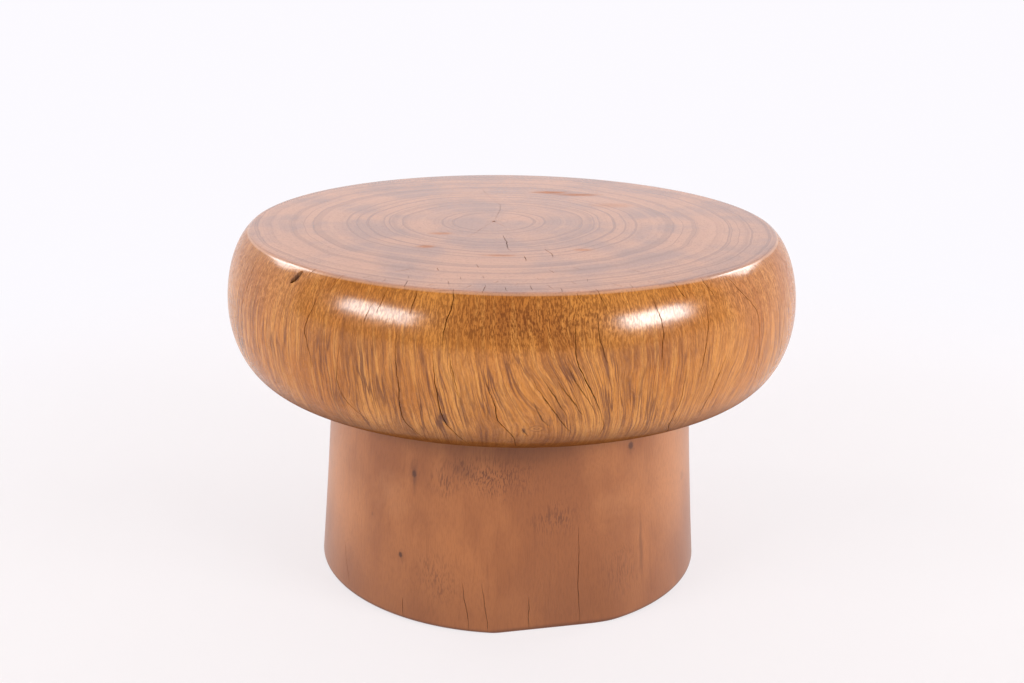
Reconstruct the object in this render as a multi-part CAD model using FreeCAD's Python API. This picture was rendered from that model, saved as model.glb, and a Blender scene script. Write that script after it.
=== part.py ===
# Mushroom-shaped accent table turned from two log sections: a bullnose cap of
# end-grain wood on a flared stump pedestal. The cap is let down over the head
# of the pedestal, located by hardwood dowels and drawn tight from below by lag
# screws sunk in deep counterbores. The foot stands on nailed nylon glides that
# are let into shallow pockets.
# Millimetres, +Z up, origin on the floor under the turning axis, front at -Y.

import FreeCAD
import Part
import math
import os

Vec = FreeCAD.Vector

# Cap: two ellipses meet at the widest line, and the level top cuts off the crest of the upper one
cap_diameter = 700.0
cap_thickness = 176.0
belly_height = 89.0       # underside up to the widest line
belly_width = 56.0        # underside's edge out to the widest line
shoulder_width = 48.0     # half width of the shoulder's ellipse
crown_cut = 7.0           # height of the crest that the level top takes off
top_edge_radius = 8.0     # easing of the edge round the level top

# Pedestal: a flared side with a slight waist, and one flat dressed at the foot
pedestal_height = 258.0   # foot to the cap's underside
neck_diameter = 452.0
foot_diameter = 489.0
waist_draw_in = 1.0       # how far the side lies inside a straight taper
foot_edge_radius = 3.0
foot_flat_depth = 12.0
foot_flat_height = 130.0
foot_flat_azimuth = 13.0  # degrees from the front towards +X

# Seat: the pedestal's head enters a shallow turned recess under the cap
seat_depth = 6.0
seat_clearance = 0.4

# Dowels between the head of the pedestal and the cap
dowel_count = 3
dowel_diameter = 30.0
dowel_length = 120.0
dowel_chamfer = 2.0
dowel_circle_diameter = 200.0
dowel_clearance = 0.15
dowel_end_gap = 2.0       # room for glue at each end of a dowel

# Lag screws and washers in counterbores from below
screw_count = 4
screw_length = 200.0      # under the head to the point
screw_shank_diameter = 10.0
screw_shank_length = 112.0
screw_core_diameter = 7.6
screw_point_length = 10.0
screw_head_width = 17.0   # across the flats of the hexagon
screw_head_height = 7.0
screw_circle_diameter = 330.0
screw_clearance = 0.5
pilot_clearance = 0.1
pilot_end_gap = 4.0
washer_diameter = 30.0
washer_thickness = 2.5
counterbore_clearance = 1.0
deck_thickness = 110.0    # wood left between the washers and the seat

# Nail-on glides under the foot
glide_count = 6
glide_diameter = 30.0
glide_thickness = 4.0
glide_proud = 1.0         # how far a glide stands out of its pocket in the foot
glide_pocket_clearance = 0.2
glide_edge_radius = 1.0
glide_inset = 36.0        # foot's rim to a glide's centre
nail_diameter = 3.0
nail_length = 18.0        # driven into the wood above the pocket
nail_point_length = 4.0
nail_head_diameter = 7.4
nail_head_thickness = 1.2
nail_head_sink = 0.5      # the head lies this far above the floor
nail_clearance = 0.1

cut_overrun = 5.0         # how far a cutting tool runs past the face it opens

# Heights of the stack, worked out from the sizes above
foot_z = glide_proud
underside_z = foot_z + pedestal_height
seat_z = underside_z + seat_depth
widest_z = underside_z + belly_height
top_z = underside_z + cap_thickness
washer_z = seat_z - deck_thickness - washer_thickness
dowel_z = seat_z - dowel_length / 2

cap_radius = cap_diameter / 2
neck_radius = neck_diameter / 2
foot_radius = foot_diameter / 2

axis_point = Vec(0, 0, 0)
up = Vec(0, 0, 1)
toward_user = Vec(0, -1, 0)


def section_point(radius, height):
    # A point of a turned outline, drawn in the XZ plane.
    return Vec(radius, 0, height)


def line(start, end):
    return Part.LineSegment(start, end).toShape()


def arc(start, middle, end):
    return Part.Arc(start, middle, end).toShape()


def ellipse_arc(centre, half_width, half_height, end):
    # From the outermost point of an ellipse to an end on the same quarter, below if half_height is negative.
    tip = centre + Vec(half_width, 0, 0)
    crown = centre + Vec(0, 0, half_height)
    if abs(half_height) >= half_width:
        curve = Part.Ellipse(crown, tip, centre)
    else:
        curve = Part.Ellipse(tip, crown, centre)
    ends = [curve.parameter(tip), curve.parameter(end)]
    piece = curve.toShape(min(ends), max(ends))
    if max(ends) - min(ends) > math.pi:
        piece = curve.toShape(max(ends), min(ends) + 2 * math.pi)
    return piece


def turned(edges):
    # The solid that a closed outline sweeps round the table's axis.
    wire = Part.Wire(Part.__sortEdges__(edges))
    return Part.Face(wire).revolve(axis_point, up, 360)


def rod(radius, bottom, top):
    return Part.makeCylinder(radius, top - bottom, Vec(0, 0, bottom), up)


def round_the_axis(shape, count, circle_diameter, first_angle):
    # Copies of a shape made on the axis, spread over a circle.
    copies = []
    for index in range(count):
        copy = shape.copy()
        copy.translate(toward_user * (circle_diameter / 2))
        copy.rotate(axis_point, up, first_angle + index * 360.0 / count)
        copies.append(copy)
    return copies


def dowel_places(shape):
    return round_the_axis(shape, dowel_count, dowel_circle_diameter, 0.0)


def screw_places(shape):
    return round_the_axis(shape, screw_count, screw_circle_diameter, 180.0 / screw_count)


def glide_places(shape):
    return round_the_axis(shape, glide_count, foot_diameter - 2 * glide_inset, 180.0 / glide_count)


def tabletop():
    shoulder_centre = section_point(cap_radius - shoulder_width, widest_z)
    shoulder_height = top_z - widest_z + crown_cut
    reach = math.sqrt(1 - ((top_z - widest_z) / shoulder_height) ** 2)
    underside_radius = cap_radius - belly_width
    recess_radius = neck_radius + seat_clearance
    top_centre = section_point(0, top_z)
    top_edge = section_point(shoulder_centre.x + shoulder_width * reach, top_z)
    underside_edge = section_point(underside_radius, underside_z)
    recess_mouth = section_point(recess_radius, underside_z)
    recess_corner = section_point(recess_radius, seat_z)
    recess_centre = section_point(0, seat_z)
    cap = turned([
        line(top_centre, top_edge),
        ellipse_arc(shoulder_centre, shoulder_width, shoulder_height, top_edge),
        ellipse_arc(section_point(underside_radius, widest_z), belly_width, -belly_height, underside_edge),
        line(underside_edge, recess_mouth),
        line(recess_mouth, recess_corner),
        line(recess_corner, recess_centre),
        line(recess_centre, top_centre),
    ])
    middle_z = (widest_z + top_z) / 2
    top_rim = [edge for edge in cap.Edges
               if isinstance(edge.Curve, Part.Circle) and edge.CenterOfMass.z > middle_z]
    cap = cap.makeFillet(top_edge_radius, top_rim)
    pilot_radius = screw_core_diameter / 2 + pilot_clearance
    pilot_end = washer_z + screw_length + pilot_end_gap
    pilot = rod(pilot_radius, seat_z - cut_overrun, pilot_end)
    shank_end = washer_z + screw_shank_length
    entry_radius = screw_shank_diameter / 2 + pilot_clearance
    entry = rod(entry_radius, seat_z - cut_overrun, max(shank_end, seat_z))
    return cap.cut(dowel_places(dowel_hole()) + screw_places(pilot.fuse(entry)))


def side_radius(height):
    # The pedestal's radius on a straight taper, a height above the foot.
    return foot_radius + (neck_radius - foot_radius) * height / pedestal_height


def foot_flat():
    # The wedge that dresses one flat on the foot, deepest at the floor.
    outside = max(foot_radius, neck_radius) + foot_flat_depth
    slope = (side_radius(foot_flat_height) - foot_radius + foot_flat_depth) / foot_flat_height
    inner_low = Vec(0, -(foot_radius - foot_flat_depth - slope * cut_overrun), foot_z - cut_overrun)
    inner_high = Vec(0, -(side_radius(foot_flat_height) + slope * cut_overrun),
                     foot_z + foot_flat_height + cut_overrun)
    outer_high = Vec(0, -outside, foot_z + foot_flat_height + cut_overrun)
    outer_low = Vec(0, -outside, foot_z - cut_overrun)
    section = Part.Face(Part.makePolygon([inner_low, inner_high, outer_high, outer_low, inner_low]))
    wedge = section.extrude(Vec(2 * outside, 0, 0))
    wedge.translate(Vec(-outside, 0, 0))
    wedge.rotate(axis_point, up, foot_flat_azimuth)
    return wedge


def pedestal():
    head_centre = section_point(0, seat_z)
    head_edge = section_point(neck_radius, seat_z)
    neck = section_point(neck_radius, underside_z)
    waist_height = pedestal_height / 2
    waist = section_point(side_radius(waist_height) - waist_draw_in, foot_z + waist_height)
    side_foot = section_point(foot_radius, foot_z + foot_edge_radius)
    bevel = foot_edge_radius * (1 - math.sqrt(0.5))
    edge_middle = section_point(foot_radius - bevel, foot_z + bevel)
    foot_edge = section_point(foot_radius - foot_edge_radius, foot_z)
    foot_centre = section_point(0, foot_z)
    stump = turned([
        line(head_centre, head_edge),
        line(head_edge, neck),
        arc(neck, waist, side_foot),
        arc(side_foot, edge_middle, foot_edge),
        line(foot_edge, foot_centre),
        line(foot_centre, head_centre),
    ])
    counterbore = rod(washer_diameter / 2 + counterbore_clearance, foot_z - cut_overrun,
                      washer_z + washer_thickness)
    clearance_hole = rod(screw_shank_diameter / 2 + screw_clearance, washer_z, seat_z + cut_overrun)
    nail_hole = rod(nail_diameter / 2 + nail_clearance, foot_z, glide_thickness + nail_length)
    pocket = rod(glide_diameter / 2 + glide_pocket_clearance, foot_z - cut_overrun, glide_thickness)
    return stump.cut(
        [foot_flat()]
        + dowel_places(dowel_hole())
        + screw_places(counterbore.fuse(clearance_hole))
        + glide_places(pocket.fuse(nail_hole))
    )


def dowel_hole():
    half_depth = dowel_length / 2 + dowel_end_gap
    return rod(dowel_diameter / 2 + dowel_clearance, seat_z - half_depth, seat_z + half_depth)


def dowel():
    pin = rod(dowel_diameter / 2, dowel_z, dowel_z + dowel_length)
    rims = [edge for edge in pin.Edges if isinstance(edge.Curve, Part.Circle)]
    return pin.makeChamfer(dowel_chamfer, rims)


def lag_screw():
    # Hexagon head, plain shank, core of the thread and a gimlet point.
    corner = screw_head_width / math.sqrt(3)
    corners = [Vec(corner * math.cos(math.radians(60 * k)), corner * math.sin(math.radians(60 * k)),
                   washer_z - screw_head_height) for k in range(7)]
    head = Part.Face(Part.makePolygon(corners)).extrude(up * screw_head_height)
    shank_end = washer_z + screw_shank_length
    point_start = washer_z + screw_length - screw_point_length
    core_radius = screw_core_diameter / 2
    shank = rod(screw_shank_diameter / 2, washer_z, shank_end)
    core = rod(core_radius, shank_end, point_start)
    point = Part.makeCone(core_radius, 0, screw_point_length, Vec(0, 0, point_start), up)
    return head.fuse([shank, core, point]).removeSplitter()


def washer():
    plate = rod(washer_diameter / 2, washer_z, washer_z + washer_thickness)
    hole = rod(screw_shank_diameter / 2 + screw_clearance, washer_z - cut_overrun,
               washer_z + washer_thickness + cut_overrun)
    return plate.cut(hole)


def glide():
    disc = rod(glide_diameter / 2, 0, glide_thickness)
    lower_rim = [edge for edge in disc.Edges
                 if isinstance(edge.Curve, Part.Circle) and edge.CenterOfMass.z < glide_thickness / 2]
    disc = disc.makeFillet(glide_edge_radius, lower_rim)
    shank_hole = rod(nail_diameter / 2 + nail_clearance, -cut_overrun, glide_thickness + cut_overrun)
    head_top = nail_head_sink + nail_head_thickness
    head_recess = rod(nail_head_diameter / 2 + nail_clearance, -cut_overrun, head_top)
    return disc.cut([shank_hole, head_recess])


def glide_nail():
    head_top = nail_head_sink + nail_head_thickness
    point_start = glide_thickness + nail_length - nail_point_length
    head = rod(nail_head_diameter / 2, nail_head_sink, head_top)
    shank = rod(nail_diameter / 2, head_top, point_start)
    point = Part.makeCone(nail_diameter / 2, 0, nail_point_length, Vec(0, 0, point_start), up)
    return head.fuse([shank, point]).removeSplitter()


def save(name, shape):
    shape.exportStep(os.path.join("parts", name + ".step"))


def main():
    os.makedirs("parts", exist_ok=True)
    save("tabletop", tabletop())
    save("pedestal", pedestal())
    for number, pin in enumerate(dowel_places(dowel()), 1):
        save(f"dowel_{number}", pin)
    save("lag_screws", Part.makeCompound(screw_places(lag_screw())))
    save("washers", Part.makeCompound(screw_places(washer())))
    for number, pad in enumerate(glide_places(glide()), 1):
        save(f"glide_{number}", pad)
    save("glide_nails", Part.makeCompound(glide_places(glide_nail())))


main()
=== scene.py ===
import math
import bpy
import bmesh
from mathutils import Matrix, Vector, noise


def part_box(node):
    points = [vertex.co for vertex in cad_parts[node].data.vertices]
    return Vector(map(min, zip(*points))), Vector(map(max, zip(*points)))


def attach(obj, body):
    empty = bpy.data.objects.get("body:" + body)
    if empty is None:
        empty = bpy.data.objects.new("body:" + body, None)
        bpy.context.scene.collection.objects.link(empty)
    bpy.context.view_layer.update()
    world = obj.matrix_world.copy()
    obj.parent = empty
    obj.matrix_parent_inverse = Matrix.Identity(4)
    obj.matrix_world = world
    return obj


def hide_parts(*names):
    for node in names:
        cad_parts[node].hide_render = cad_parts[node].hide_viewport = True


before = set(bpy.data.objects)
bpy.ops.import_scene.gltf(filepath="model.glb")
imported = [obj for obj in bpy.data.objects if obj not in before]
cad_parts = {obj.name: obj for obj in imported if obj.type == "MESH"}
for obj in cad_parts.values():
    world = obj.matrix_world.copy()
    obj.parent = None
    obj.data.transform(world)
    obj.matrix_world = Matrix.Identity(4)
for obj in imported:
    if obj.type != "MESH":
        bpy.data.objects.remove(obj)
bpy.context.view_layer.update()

scene = bpy.context.scene
scene.view_settings.view_transform = 'Standard'
capLow, capHigh = (Vector(c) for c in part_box("tabletop"))
stumpLow, stumpHigh = (Vector(c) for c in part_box("pedestal"))


# mesh helpers

def asObject(name, bm):
    mesh = bpy.data.meshes.new(name)
    bm.to_mesh(mesh)
    bm.free()
    piece = bpy.data.objects.new(name, mesh)
    scene.collection.objects.link(piece)
    return piece


def turnOnLathe(outline, steps):
    # spins an outline of (radius, height) about Z and closes both poles
    bm = bmesh.new()
    line = [bm.verts.new((r, 0, z)) for r, z in outline]
    edges = [bm.edges.new(pair) for pair in zip(line, line[1:])]
    bmesh.ops.spin(bm, geom=line + edges, cent=(0, 0, 0), axis=(0, 0, 1), angle=2 * math.pi,
                   steps=steps, use_merge=True, use_duplicate=False)
    bmesh.ops.remove_doubles(bm, verts=bm.verts, dist=1e-6)
    bmesh.ops.recalc_face_normals(bm, faces=bm.faces)
    return bm


def bitOfDrill(name, radius, segments, bottom, top, x, y):
    bm = bmesh.new()
    place = Matrix.Translation((x, y, (bottom + top) / 2))
    bmesh.ops.create_cone(bm, cap_ends=True, segments=segments, radius1=radius, radius2=radius,
                          depth=top - bottom, matrix=place)
    return asObject(name, bm)


def aroundAxis(count, radius, firstAngle):
    spots = []
    for k in range(count):
        a = math.radians(firstAngle + 360 * k / count)
        spots.append((radius * math.sin(a), -radius * math.cos(a)))
    return spots


def outward(azimuth):
    a = math.radians(azimuth)
    return Vector((math.sin(a), -math.cos(a), 0))


def carve(piece, cutters):
    # takes every cutter out of the piece and leaves plain mesh behind
    for cutter in cutters:
        cut = piece.modifiers.new("cut", 'BOOLEAN')
        cut.operation = 'DIFFERENCE'
        cut.solver = 'MANIFOLD'
        cut.object = cutter
    ready = piece.evaluated_get(bpy.context.evaluated_depsgraph_get())
    mesh = bpy.data.meshes.new_from_object(ready)
    piece.modifiers.clear()
    piece.data = mesh
    for cutter in cutters:
        bpy.data.objects.remove(cutter)


def softShade(piece, angle):
    bm = bmesh.new()
    bm.from_mesh(piece.data)
    for face in bm.faces:
        face.smooth = True
    for edge in bm.edges:
        edge.smooth = edge.is_manifold and edge.calc_face_angle(0) < math.radians(angle)
    bm.to_mesh(piece.data)
    bm.free()


def easeThrough(stations, step):
    # even points on a smooth line through (azimuth, along) stations, along in millimetres
    nominalRadius = 330
    pts = [stations[0]] + list(stations) + [stations[-1]]
    line = []
    for k in range(1, len(pts) - 2):
        p0, p1, p2, p3 = (Vector(p) for p in pts[k - 1:k + 3])
        span = math.hypot(math.radians(p2[0] - p1[0]) * nominalRadius, p2[1] - p1[1])
        count = max(2, int(span / step))
        for i in range(count):
            t = i / count
            line.append(0.5 * (2 * p1 + (p2 - p0) * t + (2 * p0 - 5 * p1 + 4 * p2 - p3) * t * t
                               + (3 * p1 - p0 - 3 * p2 + p3) * t ** 3))
    line.append(Vector(stations[-1]))
    return line


checkShape = {
    "lift": 0.0012,  # how far the wedge stands out of the wood
    "leastSwell": 0.1,
    "ragged": 0.35,  # change of width along the check
    "wander": 0.0011,
    "jitter": 0.0007,
    "darkFrom": 0.0002,  # depth where the dark in a check begins
    "darkOver": 0.0008,
}


def dryingCheck(name, spots, width, depth, seed):
    # a tapering wedge along (point, normal) spots, used to split the wood open
    c = checkShape
    lift = c["lift"]
    bm = bmesh.new()
    face = None
    last = len(spots) - 1
    for i, (point, normal) in enumerate(spots):
        ahead = spots[min(i + 1, last)][0] - spots[max(i - 1, 0)][0]
        side = ahead.cross(normal).normalized()
        swell = max(c["leastSwell"], math.sin(math.pi * (i + 0.35) / (last + 0.7)) ** 0.7)
        swell *= 1 + c["ragged"] * noise.noise(Vector((i * 0.9, seed * 3.1, 0)))
        point = point + side * (c["wander"] * noise.noise(Vector((i * 0.4, seed * 7.7, 4)))
                                + c["jitter"] * noise.noise(Vector((i * 1.6, seed * 5.3, 9))))
        half = width / 2 * swell * (1 + lift / (depth * swell))
        ring = [point + normal * lift + side * half, point + normal * lift - side * half,
                point - normal * depth * swell]
        if face is None:
            face = bm.faces.new([bm.verts.new(co) for co in ring])
        else:
            face = bmesh.ops.extrude_discrete_faces(bm, faces=[face])["faces"][0]
            for vert, co in zip(face.verts, ring):
                vert.co = co
    bmesh.ops.holes_fill(bm, edges=[e for e in bm.edges if e.is_boundary])
    bmesh.ops.recalc_face_normals(bm, faces=bm.faces)
    return asObject(name, bm)


def markSplits(piece, depthUnder):
    # stores how far each point lies inside the turned surface, for the dark in the checks
    c = checkShape
    dark = piece.data.attributes.new("checkDark", 'FLOAT', 'POINT')
    for k, vert in enumerate(piece.data.vertices):
        dark.data[k].value = min(1.0, max(0.0, depthUnder(vert.co) - c["darkFrom"]) / c["darkOver"])


# the fasteners' places and the holes that they sit in

dowelSpots = aroundAxis(3, 0.1, 0)
screwSpots = aroundAxis(4, 0.165, 45)
glideSpots = aroundAxis(6, 0.2085, 30)
bores = {
    "overrun": 0.004,
    "dowel": (0.01515, 40),  # radius and segments
    "dowelReach": 0.062,
    "pilot": (0.0039, 16),
    "pilotReach": 0.0915,
    "counterbore": (0.016, 40),
    "deck": 0.11,  # wood left between a counterbore and the pedestal's head
    "shank": (0.0055, 20),
    "shankOverlap": 0.002,
    "pocket": (0.0152, 40),
    "pocketTop": 0.004,
    "nail": (0.0016, 12),
    "nailFrom": 0.003,
    "nailTop": 0.022,
}
shadeAngle = 32  # edges sharper than this stay crisp


def drillEach(spots, *holes):
    # every hole at the first spot, then at the next
    return [bitOfDrill(f"{name}{k}", radius, segments, bottom, top, x, y)
            for k, (x, y) in enumerate(spots)
            for name, (radius, segments), bottom, top in holes]


# the cap

capShape = {
    "shoulder": 0.048,  # half width of the shoulder's ellipse
    "belly": 0.056,  # underside's edge out to the widest line
    "bellyRise": 0.089,  # underside up to the widest line
    "crownCut": 0.007,  # crest of the shoulder that the level top takes off
    "topEase": 0.008,
    "seatDepth": 0.006,
    "seatRadius": 0.2264,
    "seatSlack": 0.0008,
    "seatRings": 8,
    "steps": 300,
    "topRings": 14,
    "easePoints": 8,
    "flowRadius": 0.35,
    "rimPoints": 34,
    "checkStep": 3.6,  # mm between the sections of a check
    "checkWidth": 0.68,  # share of the listed width
    "topZone": 0.02,
    "pith": (-0.0238, 0.0052),
    "pithHole": (0.0024, 9, 0.009, 0.002),  # radius, segments, depth and overrun
    "barkHole": [(-43.3, 326), (-44.2, 334), (-45.2, 342)],
    "barkWidth": 0.0074,
    "barkDepth": 0.006,
}


def capSizes():
    # widest line, half height of the shoulder, radius of the level top, lean and start of the flank
    s = capShape
    wide = capLow.z + s["bellyRise"]
    crown = capHigh.z - wide + s["crownCut"]
    low, high = 0.0, math.asin((capHigh.z - wide) / crown)
    for k in range(40):
        # the eased edge touches the level top and the flank
        start = (low + high) / 2
        facing = Vector((math.cos(start) / s["shoulder"], math.sin(start) / crown)).normalized()
        if wide + crown * math.sin(start) + s["topEase"] * (1 - facing.y) > capHigh.z:
            high = start
        else:
            low = start
    edge = capHigh.x - s["shoulder"] * (1 - math.cos(start)) - s["topEase"] * facing.x
    return wide, crown, edge, math.atan2(facing.x, facing.y), start


capMeasures = capSizes()


def capOutline():
    s = capShape
    radius = capHigh.x
    wide, crown, edge, lean, start = capMeasures
    line = [(edge * k / s["topRings"], capHigh.z) for k in range(s["topRings"] + 1)]
    for k in range(1, s["easePoints"] + 1):
        t = lean * k / s["easePoints"]
        drop = s["topEase"] * (1 - math.cos(t))
        line.append((edge + s["topEase"] * math.sin(t), capHigh.z - drop))
    for k in range(1, s["rimPoints"] + 1):
        t = start * (1 - k / s["rimPoints"])
        line.append((radius - s["shoulder"] * (1 - math.cos(t)), wide + crown * math.sin(t)))
    for k in range(1, s["rimPoints"] + 1):
        t = math.pi / 2 * k / s["rimPoints"]
        line.append((radius - s["belly"] * (1 - math.cos(t)), wide - s["bellyRise"] * math.sin(t)))
    line.append(((radius - s["belly"] + s["seatRadius"]) / 2, capLow.z))
    line.append((s["seatRadius"], capLow.z))
    return line


skin = [Vector(p) for p in capOutline()]
skinRuns = [0.0]
for p, q in zip(skin, skin[1:]):
    skinRuns.append(skinRuns[-1] + (q - p).length)


def readCap(co):
    # depth under the turned skin, and the distance over the skin from the top's middle
    s = capShape
    wide, crown, edge, lean, start = capMeasures
    r = math.hypot(co.x, co.y)
    upper = co.z >= wide
    a, b = (s["shoulder"], crown) if upper else (s["belly"], s["bellyRise"])
    inner = capHigh.x - a
    high = abs(co.z - wide)
    under = capHigh.z - co.z if upper else b - high
    if r <= inner:
        return under, r if upper else skinRuns[-3] + inner - r
    q = math.hypot((r - inner) / a, high / b)
    slope = math.hypot((r - inner) / a ** 2, high / b ** 2) / q
    deep = (1 - q) / slope
    if upper and r < edge:
        return (under, r) if under < deep else (deep, edge)
    rise = co.z - capHigh.z + s["topEase"]
    bend = math.atan2(r - edge, rise)
    if upper and bend < lean:
        return s["topEase"] - math.hypot(r - edge, rise), edge + s["topEase"] * bend
    turn = math.atan2(high / b, (r - inner) / a)
    firstRim = s["topRings"] + s["easePoints"]
    share = 1 - min(turn / start, 1) if upper else 1 + turn / (math.pi / 2)
    step = firstRim + s["rimPoints"] * share
    k = min(int(step), len(skinRuns) - 2)
    return deep, skinRuns[k] + (skinRuns[k + 1] - skinRuns[k]) * (step - k)


def onCap(azimuth, along):
    # point and normal a distance (mm) from the top's middle, measured over the skin
    left = along / 1000
    for p, q in zip(skin, skin[1:]):
        run = (q - p).length
        if left <= run:
            break
        left -= run
    spot = p.lerp(q, left / run)
    way = (q - p).normalized()
    out = outward(azimuth)
    facing = out * -way.y + Vector((0, 0, way.x))
    return out * spot.x + Vector((0, 0, spot.y)), facing.normalized()


# azimuth in degrees from the front, distance over the skin in mm, then width and depth in mm
frontChecks = [
    ([(-37.1, 339.7), (-37.3, 357.2), (-38.4, 374.3), (-38.6, 388.6),
      (-37.2, 409.7), (-37, 425.7)], 1.5, 9),
    ([(-23, 325.5), (-23.3, 336.9), (-23.8, 352.6)], 1.3, 6),
    ([(-17.2, 322), (-17.2, 333.1), (-17.7, 349.7)], 1.4, 6),
    ([(-10.7, 315.9), (-10.3, 337.5), (-11, 352), (-11.3, 364.6), (-11.4, 379.6)], 1.6, 8),
    ([(-24.8, 341.8), (-25.5, 352.6), (-26.2, 366.6)], 1.2, 5),
    ([(-19.4, 366.6), (-19.6, 391.4), (-19, 421.7), (-19, 457.7),
      (-18.3, 472.7), (-15, 505.7)], 1.5, 9),
    ([(-13, 386.7), (-12.5, 417.3), (-11.8, 447.7), (-11.1, 464.7), (-7.3, 502.7)], 1.7, 10),
    ([(-10.3, 383.7), (-9.2, 412.7), (-8.4, 433.7)], 1.1, 5),
    ([(-4, 413.7), (-2.6, 436.7), (-1.9, 457.7), (0.8, 482.7), (1.2, 503.7)], 1.5, 8),
    ([(25.5, 329.2), (26.5, 349.7), (26.9, 364.6), (26.6, 388.2), (26.8, 411.7)], 1.5, 9),
    ([(37.1, 347.6), (37, 362.6), (36.4, 380.2), (35.2, 408.7), (34.4, 428.7)], 1.5, 8),
    ([(46.8, 344.5), (49.5, 361.4), (51.1, 379.5), (51.2, 413.7), (52.6, 460.7)], 1.3, 8),
    ([(14.9, 343.8), (15, 365.1), (15.5, 381.7), (16.3, 396.7)], 1.2, 6),
    ([(11, 350.7), (10.8, 371.6), (11.2, 394.2), (12.9, 415.7), (15, 441.7),
      (16.3, 461.7)], 1.5, 8),
    ([(31.5, 418.7), (31.3, 443.7), (30.8, 471.7), (31.2, 489.7), (33.5, 511.7)], 1.2, 7),
    ([(40.9, 409.2), (38.5, 444.7), (37.4, 482.7)], 1.4, 6),
    ([(11.8, 321.2), (12.5, 335)], 1.1, 4),
    ([(15.7, 311.3), (16.1, 328.4), (16.9, 340.8)], 1.2, 5),
    ([(31.7, 313.4), (32, 328.2), (33, 339.7)], 1.2, 5),
    ([(38.3, 317.3), (38.8, 330.9), (39.8, 343.6)], 1.2, 5),
    ([(45.2, 326.9), (46.7, 342.5), (48.9, 358.4)], 1.2, 5),
    ([(-33.6, 311.4), (-34.1, 329.1), (-34.7, 338.7)], 1, 4),
    ([(-40.7, 315.2), (-41.4, 329.9)], 1, 4),
    ([(-21, 300.4), (-19.8, 322)], 0.9, 4),
    ([(-5.2, 294.8), (-5.2, 321.2)], 0.9, 4),
    ([(3.6, 292.7), (3.9, 311.3)], 0.9, 4),
    ([(-8.8, 71.2), (-3.8, 103.7), (-2.8, 126.8), (-0.4, 148.9)], 1.3, 7),
    ([(15, 137.1), (15.8, 160.3), (14.5, 180.4)], 1.2, 5),
    ([(4.4, 170.1), (4.5, 191.2)], 1.4, 5),
    ([(-24.8, 255.3), (-26.8, 276.6)], 1.3, 5),
    ([(30, 255.7), (30.9, 272.8)], 1.2, 5),
]
# short checks and the fine crackle on the top's front: both ends and the width
shortChecks = [
    ((-29, 296), (-29.6, 316), 0.9), ((-25.2, 304), (-24.6, 318), 0.8),
    ((-15.4, 300), (-16, 314), 0.9), ((-13.2, 288), (-12.4, 300), 0.8),
    ((-8, 296), (-8.6, 309), 0.8), ((-1.4, 300), (-0.8, 316), 0.9), ((7.2, 293), (7.9, 307), 0.9),
    ((9.6, 304), (9.2, 319), 0.8), ((20.4, 296), (21.3, 314), 0.9),
    ((23.4, 306), (22.9, 319), 0.8), ((28.2, 300), (28.9, 317), 0.9),
    ((-10.4, 214), (-9, 226), 0.9), ((9.8, 232), (10.6, 245), 0.9), ((17, 226), (18.6, 238), 0.9),
    ((-19.4, 240), (-18, 252), 0.9),
]
topCrackle = [
    ((-33.5, 262), (-32.6, 272), 0.55), ((-30.5, 288), (-31.2, 300), 0.55),
    ((-22.4, 282), (-21.6, 293), 0.6), ((-16.8, 262), (-17.4, 271), 0.55),
    ((-11.6, 268), (-10.8, 279), 0.55), ((-6.8, 258), (-6.2, 268), 0.55),
    ((-3.1, 276), (-3.6, 287), 0.6), ((1.2, 284), (0.6, 296), 0.55),
    ((5.6, 262), (6.1, 273), 0.55), ((12.6, 280), (13.4, 292), 0.6),
    ((16.8, 272), (16.1, 283), 0.55), ((19.4, 258), (20.2, 268), 0.55),
    ((24.6, 282), (25.4, 294), 0.6), ((33.4, 286), (34.1, 299), 0.6),
    ((36.4, 272), (35.8, 282), 0.55),
]
shortDepth, crackleDepth = 3, 1.2
# dark lines of the grain where it sweeps aside, hardly sunk
grainLines = [
    ([(-30.2, 378.7), (-31, 415.7), (-31, 438.7), (-29.3, 460.7), (-25.5, 480.7)], 2.2, 0.6),
    ([(3.4, 403.9), (4.6, 419.7), (6.6, 438.6), (8.7, 457.5), (10.6, 474.3),
      (11.7, 486.3)], 3.2, 0.85),
    ([(5.5, 409.9), (7.8, 432.4), (9.9, 453.1)], 3, 0.75),
    ([(7.8, 412.2), (10.3, 433.1), (12.8, 454.3)], 3, 0.8),
    ([(9.2, 387.5), (10.6, 410.9), (13.2, 434.2), (15.2, 455.6)], 2.8, 0.7),
    ([(4.1, 434), (5.1, 452), (6.9, 466)], 4, 0.8),
    ([(2.1, 466.8), (3.3, 478.4)], 4, 0.8),
    ([(16.3, 458.8), (16.8, 472.5), (16.3, 486.5)], 1.8, 0.6),
    ([(-10.5, 385.7), (-9.8, 404.7), (-9, 424.5), (-8.2, 434.8)], 2.4, 0.55),
    ([(-3.9, 433.2), (-3.5, 458.5)], 3, 0.55),
    ([(-15.1, 438.9), (-15.3, 465.6)], 5, 0.5),
    ([(-13.6, 440.1), (-13.5, 458.9)], 3.2, 0.5),
]
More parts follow.
